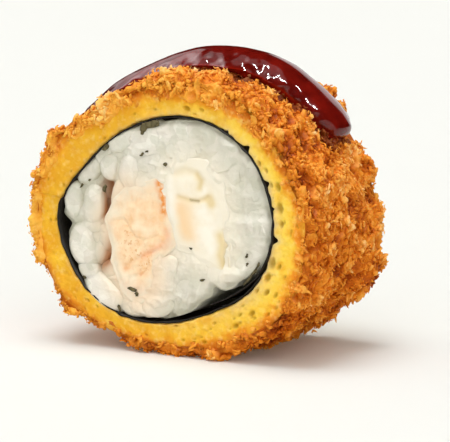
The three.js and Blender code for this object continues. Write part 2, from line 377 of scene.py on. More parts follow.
def batter_ring():
    """Loops round the roll, in the order of the profile: the front face from the hole outwards,
    the flank to the back, the back face inwards and the hole's wall."""
    columns, face_rows, flank_rows = 800, 44, 16
    angle = np.linspace(0, 360, columns, endpoint=False)
    share = np.linspace(0, 1, face_rows)[:, None]
    hole = closed_curve(HOLE_RADII, angle) - HOLE_SWELL + LEDGE_RISE * ledge_at(angle)
    for turn, reach, depth in HOLE_NOTCHES:  # angle and reach in degrees, depth in mm
        hole = hole + depth * MM * bump_at(angle, turn, reach)
    hole = hole + 0.12 * MM * noise(polar(hole, angle, 0), 1.1 * MM, 14)
    rim = crust_rim(angle) - 0.4 * MM
    front, front_rimward, front_pores = batter_face(-1, angle, share, hole, rim)
    back, back_rimward, back_pores = batter_face(1, angle, share[::-1], hole, rim)
    y = -HALF * np.cos(np.pi * np.linspace(0, 1, flank_rows + 2)[1:-1, None])
    level, cover = crust_level(angle, y)
    flank = polar(level - CRUMB_BED * (1.0 + 0.9 * cover), angle, y)
    flank[..., 2] = np.maximum(flank[..., 2], 0.3 * MM)
    buried = np.zeros(flank.shape[:2])
    wall = polar(hole, angle, np.array([[HALF / 2], [0], [-HALF / 2]]))
    none = np.zeros(wall.shape[:2])
    loops = np.concatenate([front, flank, back, wall])
    fields = {
        "rimward": np.concatenate([front_rimward, 2.5 + buried, back_rimward, none]),
        "pores": np.concatenate([front_pores, buried, back_pores, none]),
        "paleness": np.ones((len(loops), 1)) * bump_at(angle, 8, 118) ** 0.7,
    }
    return *loop_solid(loops), fields


batter = add_piece("batter_ring", "breaded_batter", "crumb_crust", *batter_ring())
sponge = Finish(
    "fried_batter",
    Roughness=0.6,
    Subsurface_Weight=0.25,
    Subsurface_Scale=0.0009,
    Subsurface_Radius=(1.0, 0.55, 0.15),
    Specular_IOR_Level=0.15,
)
ragged = sponge.field("rimward") + 0.5 * (sponge.noise(2.2, 3) - 0.5)
ragged = ragged + 0.25 * (sponge.noise(0.8, 2) - 0.5)
golden = sponge.ramp(
    ragged * 0.5,
    (0.0, "e0ac48"),
    (0.1, "e7ad2a"),
    (0.3, "e8ac24"),
    (0.46, "e9a624"),
    (0.55, "e28a20"),
    (0.66, "cf6c10"),
)
pale = sponge.ramp(
    ragged * 0.5,
    (0.0, "dcc084"),
    (0.1, "f2d272"),
    (0.22, "fad858"),
    (0.36, "facc46"),
    (0.46, "ee9420"),
    (0.56, "d2700f"),
)
batter_colour = sponge.layers(
    sponge.mix(sponge.field("paleness"), golden, pale),
    (sponge.patches(3.6, 3, 0.48, 0.66) * 0.6, "f8c838"),
    (sponge.patches(1.0, 4, 0.5, 0.75) * 0.45, "f9dc84"),
    (sponge.patches(2.2, 4, 0.5, 0.72) * 0.5, "e0980c"),
    # painted shade: the deeper a pore, the darker olive it is painted, as shade in the pit
    (sponge.field("pores") * 0.75, "a8820e"),
    (sponge.clip(ragged, 1.25, 1.8), "c4640c"),
)
sponge.wear(batter, Base_Color=batter_colour, Normal=sponge.relief(sponge.noise(0.9, 4, 0.6), 0.5, 0.5))

# ---- Breadcrumbs ------------------------------------------------------------------------
# Before frying, the battered roll is rolled in coarse dry breadcrumbs. They soak up batter and
# fry to one craggy skin, with flakes that straggle over the cut faces and draw in some sauce.

SAUCE_STATIONS = np.array([
    # angle in degrees, then in mm the middle, width and height of the sauce that is poured over the
    # crumbs, and how far its foot stands off the crust's outline
    [143, -7.4, 4.0, 1.2, -1.6],
    [134, -6.7, 9.0, 1.8, -2.1],
    [122, -4.9, 13.0, 2.5, -1.5],
    [106, -2.2, 14.5, 2.8, -0.9],
    [88, -0.4, 14.5, 3.1, 0.0],
    [62, 1.1, 12.0, 3.1, 0.3],
    [43, 3.2, 10.6, 2.9, 0.0],
    [28, 4.3, 10.0, 3.3, 0.0],
])
SAUCE_SOAKS = 2.4  # mm beside the sauce in which the crumbs have drawn some in
CRAGS = ((5.0, 32), (2.7, 36), (1.35, 37), (0.7, 38))  # size in mm and seed of each set of ridges
CRUMB_KINDS = (
    # name, seed, count, least and greatest length in mm, ranges of width and thickness as shares of
    # the length, curl, jaggedness, range of rise in mm, least paleness, then rings and columns
    ("crust_slabs", 20, 50, (1.6, 2.6), (0.5, 0.8), (0.4, 0.6), 0.5, 0.2, (-0.3, 0.2), 0.2, 7, 12),
    ("crust_flakes", 21, 3300, (1.0, 2.2), (0.5, 0.85), (0.3, 0.5), 0.4, 0.26, (-0.15, 0.3), 0.0, 4, 8),
    ("crust_curls", 22, 6600, (0.7, 1.9), (0.24, 0.42), (0.2, 0.34), 0.8, 0.2, (0.0, 0.7), 0.0, 4, 5),
    ("crust_crumbs", 23, 7600, (0.5, 1.2), (0.6, 0.95), (0.5, 0.85), 0.35, 0.3, (-0.1, 0.45), 0.0, 3, 6),
    ("crust_grit", 24, 9000, (0.3, 0.6), (0.6, 1.0), (0.5, 0.9), 0.3, 0.3, (-0.05, 0.4), 0.0, 2, 5),
)


def crumb_bed(turn, walk):
    """Place and outward direction of the bed under the crumbs, and the flank's cover there. walk is
    a distance along the profile from the middle of the flank: past a cut face's edge it goes on
    inwards over the face."""
    side = np.sign(walk)
    inward = np.maximum(np.abs(walk) - HALF, 0)
    y = np.clip(walk, -HALF, HALF)
    level, cover = crust_level(turn, y)
    radius = level - CRUMB_BED * (0.4 + 0.6 * cover) - inward
    setback = (0.6 - 0.35 * bump_at(turn, 205, 85)) * MM
    y = y - side * np.where(inward > 0, np.maximum(setback - inward * 0.25, 0), 0)
    lean = np.where(inward > 0, 0.85, (1 - cover) * 0.75)
    out = polar(1 - lean, turn, side * lean) - AXIS
    return polar(radius, turn, y), out / np.linalg.norm(out, axis=-1, keepdims=True), cover


def crumb_margin(turn):
    """How far the crumbs straggle inwards over a cut face."""
    width = crust_rim(turn) - closed_curve(HOLE_RADII, turn)
    return (1 - closed_curve(BARE_SHARE, turn)) * width


def fineness(turn, walk):
    """1 at the front of the left side, where the crumbs are fine, falling to 0 elsewhere."""
    return bump_at(turn, 200, 75) * step_up(-walk, 2 * MM, 9 * MM)


def paleness(turn, walk, cover):
    """1 where the crumbs took little heat: at the edges of the cut faces, most of all at the left,
    and over the front of the left side, where they are fine too. By the back face's edge it is
    raised as well, as painted light on the crust there."""
    left = bump_at(turn, 155, 150)
    # painted light: crumbs by the back face are made paler to brighten the crust along its edge
    back = 0.7 * step_up(walk, 8 * MM, 12 * MM)
    return (1 - cover) * (0.35 + 0.65 * np.maximum(left, back)) + 0.5 * fineness(turn, walk)


def soaked(turn, y):
    """1 under the sauce, falling to 0 beside it: by the distance along the roll from its edge, and
    round the roll from its ends."""
    angle, middle, width = SAUCE_STATIONS[::-1, :3].T
    turn = turn % 360
    aside = np.abs(y / MM - np.interp(turn, angle, middle)) - np.interp(turn, angle, width) / 2
    past = np.radians(np.maximum(angle[0] - turn, turn - angle[-1])) * CRUST_RADII[0] / MM
    return 1 - step_up(np.hypot(np.maximum(aside, 0), np.maximum(past, 0)), 0, SAUCE_SOAKS)


def craggy(place):
    """Height in mm of the fried skin over its bed, about -1.5 to 1.4: ridges of four sizes, which
    stand where noise is near zero. Slower noise pushes the places about, so the ridges curl."""
    push = np.stack([noise(place, 1.7 * MM, seed) for seed in (33, 34, 35)], axis=-1)
    pushed = place + 0.9 * MM * push
    ridges = (1 - 2.6 * np.abs(noise(pushed, size * MM, seed)) for size, seed in CRAGS)
    clump, large, middle, small = ridges
    return 0.55 * clump + 0.5 * large + (0.26 + 0.22 * large) * middle + 0.14 * small - 0.25


def browning_and_underside_shade(place):
    """Tone of the crumbs, lighter above 0: it drifts with noise, and is darker towards the bottom of
    the roll, as painted shade on its underside."""
    # painted shade: darker below the roll's axis
    return 0.5 * noise(place, 1.8 * MM, 31) - 0.35 * step_up(AXIS[2] - place[..., 2], 2 * MM, 20 * MM)


def crust_skin(side):
    """Half of the skin as loops round the roll: from the middle of the flank over the edge to its
    ragged end on the cut face, where it dips under, and back below. It also dips at the middle."""
    columns, rows = 880, 92
    turn = np.linspace(0, 360, columns, endpoint=False)
    share = np.linspace(-0.03, 1, rows)[:, None]
    ragged = 1.05 + 0.3 * noise(polar(CRUST_RADII[0], turn, side), 2.2 * MM, 39)
    walk = side * share * (HALF + crumb_margin(turn) * ragged)
    bed, out, cover = crumb_bed(turn, walk)
    height = craggy(bed)
    dip = 1.4 * step_up(share, 0.95, 1.0) + 0.6 * (1 - step_up(share, -0.03, 0.0))
    skin = bed + out * ((height - dip) * MM)[..., None]
    under = bed[[-1, rows // 2, 0]] - out[[-1, rows // 2, 0]] * 2.4 * MM
    loops = np.concatenate([skin, under])
    loops[..., 2] = np.maximum(loops[..., 2], 0)
    points, faces = loop_solid(loops[::side])
    buried = np.zeros((3, columns))
    fields = {
        "lift": np.concatenate([0.5 * height + 0.2, buried])[::side],
        "tone": np.concatenate([browning_and_underside_shade(bed), buried])[::side],
        "pale": np.concatenate([paleness(turn, walk, cover), buried])[::side],
        "soaked": np.concatenate([soaked(turn, walk), buried])[::side],
    }
    return points, faces, fields


def blunt_ball(rings, columns, bluntness):
    """Points and faces of a ball of radius 1 with its poles on x. Its girth is the sine of the
    angle from a pole to a power below 1, which blunts the ends."""
    lean = np.linspace(0, np.pi, rings + 2)[1:-1, None]
    spin = np.linspace(0, 2 * np.pi, columns, endpoint=False)
    girth = np.sin(lean) ** bluntness
    ball = np.broadcast_arrays(np.cos(lean), girth * np.cos(spin), girth * np.sin(spin))
    return loop_solid(np.stack(ball, -1), np.array([[1.0, 0, 0], [-1.0, 0, 0]]))


def joined(points, faces):
    """One mesh of many like solids (solid, point, xyz), which all have the same faces."""
    first = (np.arange(len(points)) * points.shape[1])[:, None, None]
    return points.reshape(-1, 3), [(rows + first).reshape(-1, rows.shape[1]) for rows in faces]


def crumb_cloud(seed, count, longest, wide, thin, curl, jag, proud, golden, rings, columns):
    """Crumbs scattered over the skin. Each is a closed blunt ball of a few faces with its points
    moved in and out at random, squeezed, bent along its length by a parabola, tilted and turned.
    Neighbours share a direction and a tone, which drift with noise over the crust."""
    random = np.random.default_rng(seed)
    turn = random.uniform(0, 360, count)
    walk = random.uniform(-1, 1, count) * (HALF + crumb_margin(turn) * random.uniform(0.5, 1.15, count))
    centre, out, cover = crumb_bed(turn, walk)
    kept = random.uniform(0, 1, count) < 0.65 + 0.8 * noise(centre, 2.0 * MM, 27)
    centre, out, cover = centre[kept], out[kept], cover[kept]
    count = len(centre)
    turn = np.degrees(np.arctan2(centre[:, 2] - AXIS[2], centre[:, 0] - AXIS[0]))
    fine = fineness(turn, centre[:, 1])
    size = longest[0] * (longest[1] / longest[0]) ** (random.uniform(0, 1, count) ** 1.6) * MM / 2
    size = size * (1 - 0.45 * fine)
    ball, faces = blunt_ball(rings, columns, 0.7)
    ball = ball * (1 + random.uniform(-jag, jag, (count, len(ball), 1)))
    squeeze = [np.ones(count), random.uniform(*wide, count), random.uniform(*thin, count)]
    ball = ball * np.stack(squeeze, -1)[:, None]
    ball[..., 2] += random.uniform(-curl, curl, (count, 1)) * ball[..., 0] ** 2
    ball[..., 1] += random.uniform(-curl, curl, (count, 1)) * ball[..., 0] ** 2
    side = np.cross(out, [0.0, 1.0, 0.0])
    side /= np.linalg.norm(side, axis=-1, keepdims=True)
    heading = (2.5 * noise(centre, 3.5 * MM, 29) + random.normal(0, 0.7, count))[:, None]
    long_way = side * np.cos(heading) + np.cross(side, out) * np.sin(heading)
    wide_way = np.cross(out, long_way)
    pitch, roll = random.normal(0, 0.45, (2, count, 1))
    flat_way = out * np.cos(pitch) - long_way * np.sin(pitch)
    long_way = long_way * np.cos(pitch) + out * np.sin(pitch)
    rolled_way = wide_way * np.cos(roll) + flat_way * np.sin(roll)
    flat_way = flat_way * np.cos(roll) - wide_way * np.sin(roll)
    rise = random.uniform(*proud, count) + craggy(centre)
    points = centre[:, None] + out[:, None] * rise[:, None, None] * MM
    axes = np.stack([long_way, rolled_way, flat_way], axis=1)
    points = points + size[:, None, None] * np.einsum("kvc,kcd->kvd", ball, axes)
    height = ((points - centre[:, None]) * out[:, None]).sum(-1) / MM
    shade = random.uniform(-0.16, 0.16, count) + browning_and_underside_shade(centre)
    pale = np.maximum(paleness(turn, centre[:, 1], cover), golden)
    each = np.ones((1, points.shape[1]))
    fields = {
        "lift": 0.5 * height + 0.2,
        "tone": shade[:, None] * each,
        "pale": pale[:, None] * each,
        "soaked": soaked(turn, centre[:, 1])[:, None] * each,
    }
    points[..., 2] = np.maximum(points[..., 2], 0)
    return *joined(points, faces), fields


shard = Finish("fried_crumb", Roughness=0.55, Specular_IOR_Level=0.1)
# Painted shade and light: crumbs and skin are darker the lower they lie (lift) and lighter at their tops;
# the tone adds browning and the painted shade under the roll.
toast_and_shade = 0.2 + 0.6 * shard.field("lift") + 0.35 * shard.field("tone")
toast_and_shade = toast_and_shade + 0.5 * (shard.noise(4.0, 2) - 0.5) + 0.4 * (shard.noise(0.5, 3) - 0.5)
deep = shard.ramp(
    toast_and_shade,
    (0.0, "963c06"),
    (0.25, "c8640c"),
    (0.5, "ea8e24"),
    (0.75, "f8b04c"),
    (1.0, "ffd494"),
)
light = shard.ramp(toast_and_shade, (0.0, "d07c18"), (0.3, "eea634"), (0.6, "f8be4c"), (0.9, "fbcf78"))
# paler where the field pale says, which holds painted light by the back face
shard_colour = shard.mix(shard.field("pale") * 0.8, deep, light)
drawn = shard.field("soaked") - 0.25 * shard.field("lift") + 1.1 * (shard.noise(0.9, 3) - 0.5)
shard_colour = shard.mix(shard.clip(drawn, 0.3, 0.62) * 0.85, shard_colour, "6e1606")
crumbs = [
    add_piece(name, "breaded_batter", "crumb_crust", *crumb_cloud(*shape))
    for name, *shape in CRUMB_KINDS
]
skins = [
    add_piece(name, "breaded_batter", "crumb_crust", *crust_skin(side))
    for name, side in (("crust_skin_front", -1), ("crust_skin_back", 1))
]
grain = shard.relief(shard.noise(0.3, 3, 0.6), 0.15, 0.5)
shard.wear(*skins, *crumbs, Base_Color=shard_colour, Normal=grain)

# ---- Seaweed sheet ----------------------------------------------------------------------
# One thin sheet of dried seaweed goes round the rice. Its inner end tucks under its outer end
# at the lower right, and both edges come to the cut faces, softened by the steam of the rice.

SHEET_THICKNESS = 0.3 * MM
TUCK_MIDDLE, TUCK_REACH, TUCK_DEPTH = -46, 36, 1.25 * MM  # of the inner end, in degrees and mm


def seaweed_sheet():
    """Loops round the sheet's own section, carried along its spiral from the tucked end."""
    steps, rows = 620, 26
    angle = np.linspace(-58, 335, steps)
    easing = bump_at(np.minimum(angle, 300), TUCK_MIDDLE, TUCK_REACH) * (angle < 150)
    tucked = np.where(angle < TUCK_MIDDLE, 1.0, easing)
    radius = closed_curve(HOLE_RADII, angle) - SHEET_CLEARANCE - TUCK_DEPTH * tucked
    radius = radius + LEDGE_RISE * ledge_at(angle)
    edge = HALF - 0.3 * MM + 0.35 * MM * noise(polar(radius, angle, 0.0), 1.3 * MM, 12)
    y = np.linspace(-1, 1, rows)[:, None] * edge
    crinkle = 0.1 * MM * noise(polar(radius, angle, y), 1.6 * MM, 13)
    outer = polar(radius + crinkle - 0.04 * MM, angle, y)
    inner = polar(radius + crinkle - SHEET_THICKNESS, angle, y)
    loops = np.concatenate([inner, outer[::-1]]).transpose(1, 0, 2)
    return loop_solid(loops, np.stack([loops[0].mean(0), loops[-1].mean(0)]))


nori = add_piece("seaweed_sheet", "nori", "seaweed", *seaweed_sheet())
weed = Finish("seaweed", Roughness=0.6, Specular_IOR_Level=0.25)
dark = weed.ramp(weed.noise(0.8, 4), (0.3, "0d0a06"), (0.6, "1c160d"), (0.8, "2e2414"))
weed.wear(nori, Base_Color=dark, Normal=weed.relief(weed.noise(0.5, 4, 0.6), 0.2, 0.7))

# ---- Rice -------------------------------------------------------------------------------
# Short sticky grains are pressed round the fillings. At a cut face each grain that the knife
# met is flat and level with its neighbours, and a few whole ones stay round at the left.

# Where the rice has settled away from the sheet: angle and reach in degrees, depth in mm.
RICE_HOLLOWS = ((-46, 36, 2.4), (-52, 5, 1.0), (290, 30, 0.9), (187, 5, 1.3), (104, 12, 0.5))
SALMON_OUTLINE = np.array([
    [-11.7, -1.8], [-10.3, 1.3], [-8.0, 4.2], [-4.4, 4.9], [-1.4, 5.3], [0.2, 3.4], [0.8, 0.4], [1.8, -3.2],
    [0.6, -5.8], [-2.0, -7.8], [-2.7, -12.0], [-5.2, -14.6], [-8.4, -13.0], [-10.3, -9.4], [-10.7, -5.4],
])
CHEESE_OUTLINE = np.array([
    [0.2, 7.4], [3.2, 9.6], [7.6, 9.4], [10.4, 6.8], [11.6, 3.0], [12.1, -1.2], [12.5, -5.0], [11.7, -8.2],
    [8.2, -7.6], [4.4, -5.6], [2.2, -4.4], [1.0, -0.6], [0.4, 3.6],
])
GRAIN_LENGTH, GRAIN_WIDTH = 6.2 * MM, 3.6 * MM
COLUMN_STEP, ROW_STEP = 2.6, 2.3  # mm between the pressed grains
FRONT_GRAINS = np.array([
    # x, z, half length, half width, turn and how far the top lies back: the front's left, in mm
    [-8.5, 13.0, 4.4, 1.9, 24, -0.05],
    [-12.0, 8.3, 2.7, 2.3, 80, 0.15],
    [-7.7, 7.4, 3.9, 2.5, 88, -0.1],
    [-16.0, 7.0, 3.2, 1.8, 48, 0.3],
    [-19.5, 1.7, 3.6, 2.3, 93, 0.05],
    [-15.4, 1.2, 3.9, 2.4, 86, -0.1],
    [-10.0, 3.0, 3.3, 1.8, 75, 0.3],
    [-17.8, -6.4, 4.4, 3.1, -80, -0.1],
    [-16.2, -11.2, 3.0, 2.2, -60, 0.15],
    [-13.4, -14.6, 5.2, 2.8, -38, -0.1],
    [-13.0, 10.8, 2.6, 1.6, 42, 0.4],
    [-7.0, -16.9, 3.0, 1.8, -8, 0.3],
    [-3.0, 13.4, 3.9, 2.9, 50, -0.1],
    [-3.6, 9.4, 3.4, 2.4, 20, 0.1],
])
RICE_GAPS = (
    # points across the roll, in mm, of the open cracks between the whole grains and the salmon
    [(-12.6, 5.0), (-12.4, 2.4), (-13.2, -0.6)],
    [(-11.9, -5.4), (-12.5, -7.4), (-13.3, -9.9)],
)
GAP_REACH = 1.15  # mm from the middle of a crack in which it fades


def sheet_inside(angle):
    """Radius of the seaweed's inner face, where it isn't tucked."""
    return closed_curve(HOLE_RADII, angle) - SHEET_CLEARANCE - SHEET_THICKNESS


def rice_edge(angle):
    """Radius of the rice's outline: the sheet's inner face, less how far the rice has settled."""
    settled = sum(depth * bump_at(angle, middle, reach) for middle, reach, depth in RICE_HOLLOWS)
    lumps = 0.5 * noise(polar(18 * MM, angle, 0.0), 2.6 * MM, 45)
    settled = settled + 0.35 - 0.25 * bump_at(angle, 75, 110) + lumps
    return sheet_inside(angle) - settled * MM


def outline_points(outline, columns):
    """Points in mm along the smooth closed curve through an outline's corners, clockwise."""
    angle = np.linspace(360, 0, columns, endpoint=False)
    return np.stack([closed_curve(outline[:, 0], angle), closed_curve(outline[:, 1], angle)], -1)


def filling_gap(x, z):
    """Distance in mm from points across the roll to the nearest filling, below 0 inside one. A
    point is inside where a line from it crosses the outline an odd number of times."""
    spot = np.stack([x, z], -1)[..., None, :] / MM
    gap = np.inf
    for outline in (SALMON_OUTLINE, CHEESE_OUTLINE):
        start = outline_points(outline, 72)
        end = np.roll(start, -1, axis=0)
        away = np.linalg.norm(spot - start, axis=-1).min(-1)
        spans = (start[:, 1] > spot[..., 1]) != (end[:, 1] > spot[..., 1])
        slope = (end[:, 0] - start[:, 0]) / (end[:, 1] - start[:, 1] + 1e-9)
        crossed = spans & (spot[..., 0] < start[:, 0] + slope * (spot[..., 1] - start[:, 1]))
        gap = np.minimum(gap, np.where(crossed.sum(-1) % 2, -away, away))
    return gap


def beside(place, path, reach):
    """1 on a path of straight lines given in millimetres on a cut face, falling to 0 away from it
    as exp(-(d / reach)^2), where d is the distance to the nearest line."""
    spot = (place - AXIS)[..., [0, 2]] / MM
    nearest = np.full(spot.shape[:-1], 1e9)
    for start, end in zip(np.array(path[:-1], float), np.array(path[1:], float)):
        line = end - start
        t = np.clip(((spot - start) @ line) / (line @ line), 0, 1)
        nearest = np.minimum(nearest, np.linalg.norm(spot - start - t[..., None] * line, axis=-1))
    return np.exp(-((nearest / reach) ** 2))


def strokes(place, *rows):
    """Sum of strokes on a cut face, each a strength, a reach in millimetres and then its path."""
    return sum(strength * beside(place, path, reach) for strength, reach, *path in rows)


def loose_at(x):
    """0 where the rice is pressed smooth, rising to 1 at the left, where the grains stand apart."""
    return step_up(-x, 7 * MM, 11.5 * MM)


def crack_at(x, z):
    """1 in the open cracks between the whole grains and the salmon, falling to 0 beside them."""
    place = AXIS + np.stack([x, 0 * x, z], -1)
    cracks = sum(beside(place, path, GAP_REACH) for path in RICE_GAPS)
    return np.minimum(cracks, 1) * step_up(-x, 9 * MM, 11 * MM)


def core_depth(place):
    """How far in mm the pressed rice lies behind a cut face: soft mounds of three sizes with a few
    ridges, lower at the left, in the cracks and under the fillings, and rounded off towards the
    sheet."""
    x, z = place[..., 0] - AXIS[0], place[..., 2] - AXIS[2]
    loose, gap = loose_at(x), filling_gap(x, z)
    mounds = 0.5 * noise(place, 4.4 * MM, 15) + 0.36 * noise(place, 2.1 * MM, 16)
    ridges = 0.7 * np.abs(noise(place, 3.1 * MM, 44)) + 0.35 * np.abs(noise(place, 1.4 * MM, 43))
    room = rice_edge(np.degrees(np.arctan2(z, x))) - np.hypot(x, z)
    rounding = 0.8 * (1 - step_up(room, 0, 1.9 * MM)) ** 2
    dip = 1.5 * (1 - loose) * step_up(-gap, 0.4, 2.6)
    sunk = 0.18 + 0.9 * loose + 2.2 * crack_at(x, z) + rounding + dip
    return sunk + mounds + ridges


def rice_fields(points):
    """How deep each point lies, how near a filling it is and how far the salmon has stained it."""
    x, z = points[:, 0] - AXIS[0], points[:, 2] - AXIS[2]
    near = np.exp(-((np.maximum(filling_gap(x, z), 0) / 3.2) ** 2))
    return {
        "sunk": (HALF - np.abs(points[:, 1])) / MM,
        "crack": crack_at(x, z),
        "near": near,
        "stain": near * step_up(-x - 0.5 * z, -2 * MM, 7 * MM),
    }


def rice_core():
    """Ring of pressed rice behind the grains that show."""
    angle = np.linspace(0, 360, 480, endpoint=False)
    outer = rice_edge(angle)
    share = np.linspace(0, 1, 90)[:, None]
    loops = []
    for side in (-1, 1):
        radius = 3 * MM + (outer - 3 * MM) * share
        depth = core_depth(polar(radius, angle, side * HALF))
        loops.append(polar(radius, angle, side * (HALF - depth * MM)))
    full = sheet_inside(angle) - 0.3 * MM
    profile = ((outer, -HALF / 2), (full, 0.0), (outer, HALF / 2))
    middle = [polar(radius, angle, y) for radius, y in profile]
    points, faces = loop_solid(np.concatenate([loops[0], middle, loops[1][::-1]]))
    return points, faces, {"tone": np.full(len(points), 0.5), **rice_fields(points)}


def grain_bodies(x, z, side, size, turn, tilt, sunk, level, grid, seed):
    """Grains as balls with blunt ends, bent a little, their tops sunk behind a cut face and turned
    in its plane. size is half the length, width and thickness. What would stand past the grain's
    own level is pressed back to it."""
    random = np.random.default_rng(seed)
    count = len(x)
    ball, faces = blunt_ball(*grid, 0.75)
    shape = ball * size[:, None]
    shape[..., 1:] *= 1 + random.uniform(-0.12, 0.12, (count, 1, 1)) * ball[:, :1]
    shape[..., 1] += random.uniform(-0.3, 0.3, (count, 1)) * size[:, 1:2] * ball[:, 0] ** 2
    long_way = np.stack([np.cos(turn) * np.cos(tilt), np.sin(tilt), np.sin(turn) * np.cos(tilt)], -1)
    flat_way = np.stack([-np.cos(turn) * np.sin(tilt), np.cos(tilt), -np.sin(turn) * np.sin(tilt)], -1)
    axes = np.stack([long_way, np.cross(flat_way, long_way), flat_way], axis=1)
    centre = AXIS + np.stack([x, side * (HALF - size[:, 2] - sunk), z], -1)
    points = centre[:, None] + np.einsum("kvc,kcd->kvd", shape, axes)
    points = points + 0.1 * MM * noise(points, 1.5 * MM, 17)[..., None] * flat_way[:, None]
    past = np.maximum(np.abs(points[..., 1]) - (HALF - level[:, None]), 0)
    points[..., 1] -= np.sign(points[..., 1]) * past * 0.9
    points, faces = joined(points, faces)
    tone = random.uniform(0, 1, (count, 1)) * np.ones((1, len(ball)))
    return points, faces, {"tone": tone, **rice_fields(points)}


def pressed_grains(seed):
    """Grains on a jittered hexagonal grid over both faces, inside the rice's outline and outside
    the fillings and the whole grains. Near the sheet they lie along it, elsewhere at random."""
    random = np.random.default_rng(seed)
    j, i = np.indices((19, 19)) - 9
    across, up = (i + 0.5 * (j % 2)).ravel() * COLUMN_STEP, j.ravel() * ROW_STEP
    grid = np.stack([across, up], -1) * MM
    rows = []
    for side in (-1, 1):
        spot = grid + random.uniform(-0.8, 0.8, grid.shape) * MM
        angle = np.degrees(np.arctan2(spot[:, 1], spot[:, 0]))
        far = np.hypot(*spot.T)
        room = rice_edge(angle) - far
        kept = (room > 1.6 * MM) & (filling_gap(*spot.T) > 0.6)
        kept &= crack_at(*spot.T) < 0.35
        kept &= random.uniform(0, 1, len(spot)) < 0.45 + 0.55 * loose_at(spot[:, 0])
        if side < 0:
            gap = np.linalg.norm(spot[:, None] - FRONT_GRAINS[None, :, :2] * MM, axis=-1).min(1)
            kept &= gap > 2.4 * MM
        along = angle + 90 + random.normal(0, 9, len(spot))
        turn = np.where(room < 4 * MM, along, random.uniform(0, 180, len(spot)))
        rows.append(np.column_stack([spot, np.full(len(spot), side), np.radians(turn), room])[kept])
    x, z, side, turn, room = np.concatenate(rows).T
    count = len(x)
    loose = loose_at(x)
    length = random.uniform(0.9, 1.25, count) * GRAIN_LENGTH / 2
    width = np.minimum(random.uniform(1.0, 1.4, count) * GRAIN_WIDTH / 2, room * 0.95)
    size = np.stack([length, width, width * (0.22 + 0.5 * loose)], -1)
    behind = core_depth(AXIS + np.stack([x, side * HALF, z], -1))
    sunk = np.clip(behind - random.uniform(-0.3, 0.1, count) - 0.5 * loose, 0, 1.4) * MM
    level = random.uniform(0.0, 0.06, count) * MM
    tilt = random.normal(0, 0.08, count)
    return grain_bodies(x, z, side, size, turn, tilt, sunk, level, (8, 16), seed)


def whole_grains():
    """The whole grains at the front's left, finer because they stand clear."""
    x, z, length, width, turn, sunk = FRONT_GRAINS.T
    size = np.stack([length, width, np.minimum(width * 0.9, 2.0)], -1) * MM
    none, turn = np.zeros(len(x)), np.radians(turn)
    level = (sunk + 0.35) * MM
    return grain_bodies(x * MM, z * MM, none - 1, size, turn, none, sunk * MM, level, (16, 28), 33)


rice_pieces = [
    add_piece("rice_core", "rice", "cooked_rice", *rice_core()),
    add_piece("pressed_grains", "rice", "cooked_rice", *pressed_grains(31)),
    add_piece("whole_grains", "rice", "cooked_rice", *whole_grains()),
]
starch = Finish(
    "cooked_rice",
    Roughness=0.4,
    Subsurface_Weight=0.4,
    Subsurface_Scale=0.0003,
    Subsurface_Radius=(1.0, 0.95, 0.9),
    Specular_IOR_Level=0.3,
)
cloud = 0.7 * starch.noise(3.4, 3) + 0.3 * starch.field("tone")
white = starch.layers(
    starch.ramp(cloud, (0.28, "d7d4c8"), (0.5, "e1dcd1"), (0.72, "eae5dc")),
    (starch.clip(starch.cells(2.4), 0.4, 0.75) * 0.5, "f6f4ea"),
    (starch.clip(starch.cells(1.7), 0.45, 0.8) * 0.45, "c9cab8"),
    # painted shade: the further the rice lies behind the cut face, the greyer it is painted
    (starch.clip(starch.field("sunk"), 0.2, 1.3) * 0.8, "bcbaa4"),
    (starch.field("near") * 0.85, "f2ead8"),
    (starch.field("stain") * 0.7, "edd0b0"),
    # painted shade: the cracks by the salmon are painted brown where they are deep
    (starch.clip(starch.field("sunk"), 0.6, 1.5) * starch.field("crack"), "b27c54"),
)
starch.wear(*rice_pieces, Base_Color=white, Normal=starch.relief(starch.noise(1.3, 4), 0.6, 0.6))

# ---- Seaweed flecks ---------------------------------------------------------------------
# Bits that the knife dragged off the sheet stick to the rice, and lie in the gaps between its
# grains.

FLECKS = np.array([
    # x, z, half length, half width and turn, in mm
    [-12.2, 11.7, 0.85, 0.40, 40],
    [-17.2, 4.6, 0.40, 0.22, 50],
    [-15.5, 5.7, 0.22, 0.18, 0],
    [-4.6, 10.9, 0.50, 0.20, 35],
    [-3.6, 11.5, 0.28, 0.14, 10],
    [0.1, 9.4, 0.42, 0.30, 15],
    [16.4, -5.5, 0.34, 0.16, 80],
    [16.5, -7.0, 0.30, 0.20, 60],
    [7.6, -10.5, 0.45, 0.16, 10],
    [5.3, -5.1, 0.20, 0.14, 0],
    [-16.8, -12.0, 0.36, 0.22, -40],
    [-6.8, -13.4, 0.95, 0.34, -14],
    [-5.9, -14.2, 0.42, 0.34, -60],
    [-12.5, 4.4, 0.75, 0.42, 70],
    [-9.5, -17.0, 0.70, 0.30, -70],
    [-4.4, 15.4, 1.10, 0.60, 75],
    [-2.9, 16.3, 1.80, 0.60, 12],
    [17.5, -8.6, 1.50, 0.20, 52],
    [16.5, -9.9, 1.10, 0.16, 48],
    [18.5, -7.3, 1.00, 0.18, 60],
])
x, z, length, width, turn = FLECKS.T
none, turn = np.zeros(len(FLECKS)), np.radians(turn)
size = np.stack([length, width, 0.5 * width], -1) * MM
specks = grain_bodies(x * MM, z * MM, none - 1, size, turn, none, none, none, (5, 9), 41)
points, faces = specks[:2]
torn = np.random.default_rng(42).uniform(-0.14, 0.14, points.shape) * MM
flecks = add_piece("seaweed_flecks", "nori", "seaweed", points + torn, faces)
speck = Finish("seaweed_speck", Roughness=0.7, Specular_IOR_Level=0.2)
speck.wear(flecks, Base_Color=speck.ramp(speck.noise(0.6, 3), (0.3, "443c26"), (0.7, "786e4c")))

